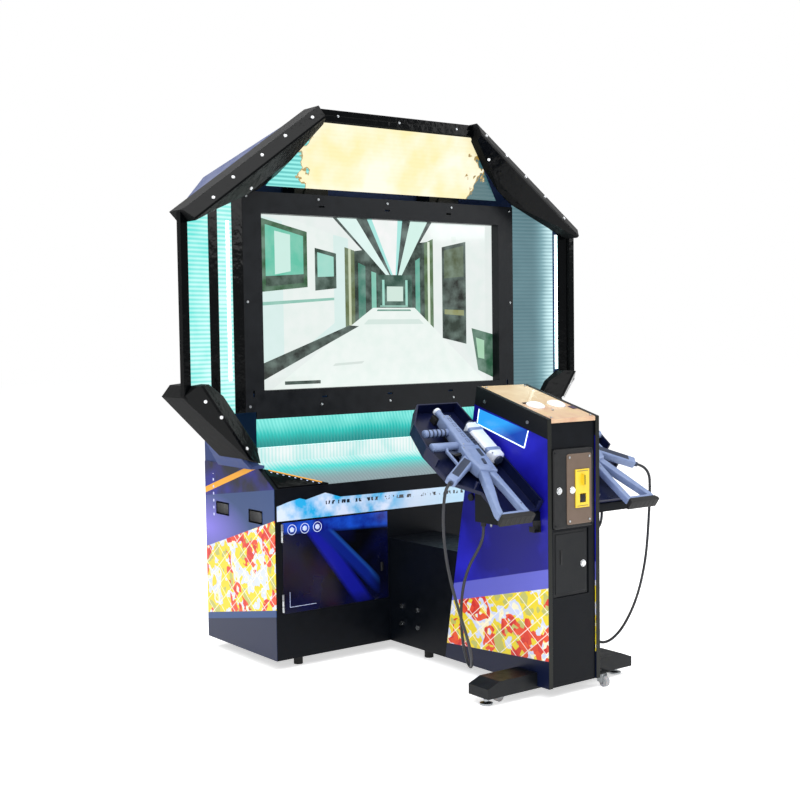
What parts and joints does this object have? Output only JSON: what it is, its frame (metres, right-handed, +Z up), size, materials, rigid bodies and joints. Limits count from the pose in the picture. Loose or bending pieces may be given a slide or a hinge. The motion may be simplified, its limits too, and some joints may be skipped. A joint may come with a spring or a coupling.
{
  "type": "light gun cabinet",
  "caption": "Stand-up shooting arcade cabinet with a hooded lit screen, a gun console on a bridge, cradled light guns and their hoses.",
  "frame": {"origin": "centre of the footprint on the floor, half-way between the player's end and the cabinet's back", "axes": "+Z up, +Y from the player's end towards the cabinet's back, +X to the player's right"},
  "size_m": [1.99, 1.55, 2.171],
  "materials": {
    "black_laminate": "satin black laminate",
    "black_metal": "satin black powder coat",
    "button_white": "white translucent button",
    "caster_grey": "grey translucent tyre",
    "coin_brown": "brown-grey moulding",
    "coin_yellow": "yellow moulding",
    "console_print": "blue printed panel with a mosaic foot",
    "device_grey": "grey metal case",
    "front_print": "printed vinyl, pale band on blue",
    "gloss_black": "gloss black moulding",
    "gun_blue": "grey-blue moulding",
    "gun_white": "pale grey-blue moulding",
    "hood_paint": "satin dark blue-grey",
    "lamp_window": "lit blue window",
    "led_white": "lit lamp strips",
    "lit_ribs": "ribbed lit acrylic",
    "marquee_lit": "lit printed acrylic",
    "moulded_black": "fine-grained black moulding",
    "rubber_black": "black rubber",
    "screen_pane": "clear pane",
    "screen_panel": "lit display panel",
    "side_print": "printed vinyl, blue with a mosaic of warm patches",
    "steel": "bright zinc plated",
    "tan_print": "tan printed plate",
    "tray_blue": "dark blue painted tray"
  },
  "bodies": {
    "cabinet": {"base_cabinet": "black_laminate", "side_art_panels": "side_print", "front_banner": "front_print", "base_feet": "rubber_black", "game_computer": "device_grey", "power_supply": "device_grey", "mains_inlet": "moulded_black", "hood_shell": "hood_paint", "hood_front_frame": "gloss_black", "wing_panels": "lit_ribs", "screen_bezel": "black_metal", "screen_glass": "screen_pane", "lcd_monitor": "screen_panel", "marquee_panel": "marquee_lit", "corner_trims_upper": "gloss_black", "corner_trims_lower": "gloss_black", "lower_light_panels": "lit_ribs", "shelf_corners": "moulded_black", "led_strips": "led_white", "speakers": "moulded_black", "bridge_box": "black_laminate", "console_body": "black_laminate", "console_side_panels": "console_print", "console_top": "tan_print", "console_windows": "lamp_window", "cash_box": "steel", "crossbar": "black_metal", "holster_left": "tray_blue", "holster_right": "tray_blue", "holster_blocks": "black_laminate", "holster_fittings": "moulded_black", "hose_left": "rubber_black", "hose_right": "rubber_black", "fixing_screws": "steel"},
    "front_door": {"front_service_door": "side_print"},
    "back_door": {"rear_door": "black_laminate"},
    "coin_door": {"coin_door_frame": "moulded_black", "coin_plate": "coin_brown", "coin_entry": "coin_yellow", "coin_mech": "device_grey"},
    "coin_door_lock": {"coin_lock": "steel"},
    "coin_reject": {"reject_button": "button_white"},
    "cash_box_door": {"cash_door": "black_metal"},
    "cash_door_lock": {"cash_lock": "steel"},
    "button_left": {"start_button_left": "button_white"},
    "button_right": {"start_button_right": "button_white"},
    "gun_left": {"gun_left_body": "gun_blue", "gun_left_stock": "gun_blue", "gun_left_scope": "gun_white"},
    "gun_left_trigger_lever": {"gun_left_trigger": "moulded_black"},
    "foot_left": {"leveller_left": "steel"},
    "caster_left": {"caster_fork_left": "steel"},
    "caster_left_roller": {"caster_wheel_left": "caster_grey"},
    "gun_right": {"gun_right_body": "gun_blue", "gun_right_stock": "gun_blue", "gun_right_scope": "gun_white"},
    "gun_right_trigger_lever": {"gun_right_trigger": "moulded_black"},
    "foot_right": {"leveller_right": "steel"},
    "caster_right": {"caster_fork_right": "steel"},
    "caster_right_roller": {"caster_wheel_right": "caster_grey"}
  },
  "joints": [
    {"name": "front_door_hinge", "type": "hinge", "parent": "cabinet", "child": "front_door", "pos_m": [-0.6275, 0.217, 0.4], "axis": [0, 0, -1], "range_deg": [0, 100]},
    {"name": "back_door_hinge", "type": "hinge", "parent": "cabinet", "child": "back_door", "pos_m": [-0.3985, 0.767, 0.4], "axis": [0, 0, 1], "range_deg": [0, 100]},
    {"name": "coin_door_hinge", "type": "hinge", "parent": "cabinet", "child": "coin_door", "pos_m": [0.09, -0.725, 0.73], "axis": [0, 0, 1], "range_deg": [0, 100]},
    {"name": "coin_lock_turn", "type": "hinge", "parent": "coin_door", "child": "coin_door_lock", "pos_m": [-0.077, -0.713, 0.732], "axis": [0, 1, 0], "range_deg": [0, 90]},
    {"name": "coin_reject_press", "type": "slide", "parent": "coin_door", "child": "coin_reject", "axis": [0, 1, 0], "range_m": [0, 0.004], "stiffness_N_per_m": 400},
    {"name": "cash_door_hinge", "type": "hinge", "parent": "cabinet", "child": "cash_box_door", "pos_m": [-0.0935, -0.709, 0.47], "axis": [0, 0, -1], "range_deg": [0, 95]},
    {"name": "cash_lock_turn", "type": "hinge", "parent": "cash_box_door", "child": "cash_door_lock", "pos_m": [0.052, -0.709, 0.463], "axis": [0, 1, 0], "range_deg": [0, 90]},
    {"name": "start_left_press", "type": "slide", "parent": "cabinet", "child": "button_left", "axis": [0, 0.2666, -0.9638], "range_m": [0, 0.003], "stiffness_N_per_m": 1500},
    {"name": "start_right_press", "type": "slide", "parent": "cabinet", "child": "button_right", "axis": [0, 0.2666, -0.9638], "range_m": [0, 0.003], "stiffness_N_per_m": 1500},
    {"name": "gun_left_lift", "type": "slide", "parent": "cabinet", "child": "gun_left", "axis": [0, -0.5718, 0.8204], "range_m": [0, 0.15]},
    {"name": "gun_left_trigger_pull", "type": "hinge", "parent": "gun_left", "child": "gun_left_trigger_lever", "pos_m": [-0.302, -0.47351, 0.85899], "axis": [0, -0.5718, 0.8204], "range_deg": [0, 12], "stiffness_Nm_per_rad": 0.6, "springref_deg": -5.73},
    {"name": "foot_left_screw", "type": "slide", "parent": "cabinet", "child": "foot_left", "axis": [0, 0, -1], "range_m": [0, 0.015]},
    {"name": "gun_right_lift", "type": "slide", "parent": "cabinet", "child": "gun_right", "axis": [0, -0.5718, 0.8204], "range_m": [0, 0.15]},
    {"name": "gun_right_trigger_pull", "type": "hinge", "parent": "gun_right", "child": "gun_right_trigger_lever", "pos_m": [0.302, -0.47351, 0.85899], "axis": [0, 0.5718, -0.8204], "range_deg": [0, 12], "stiffness_Nm_per_rad": 0.6, "springref_deg": -5.73},
    {"name": "foot_right_screw", "type": "slide", "parent": "cabinet", "child": "foot_right", "axis": [0, 0, -1], "range_m": [0, 0.015]},
    {"name": "caster_left_swivel", "type": "hinge", "parent": "cabinet", "child": "caster_left", "pos_m": [-0.24, -0.6055, 0.05], "axis": [0, 0, 1], "continuous": true},
    {"name": "caster_left_roll", "type": "hinge", "parent": "caster_left", "child": "caster_left_roller", "pos_m": [-0.262, -0.6055, 0.02], "axis": [0, 1, 0], "continuous": true},
    {"name": "caster_right_swivel", "type": "hinge", "parent": "cabinet", "child": "caster_right", "pos_m": [0.157, -0.688, 0.05], "axis": [0, 0, 1], "range_deg": [-105, 105]},
    {"name": "caster_right_roll", "type": "hinge", "parent": "caster_right", "child": "caster_right_roller", "pos_m": [0.15508, -0.70992, 0.02], "axis": [0.9962, -0.0872, 0], "continuous": true}
  ]
}
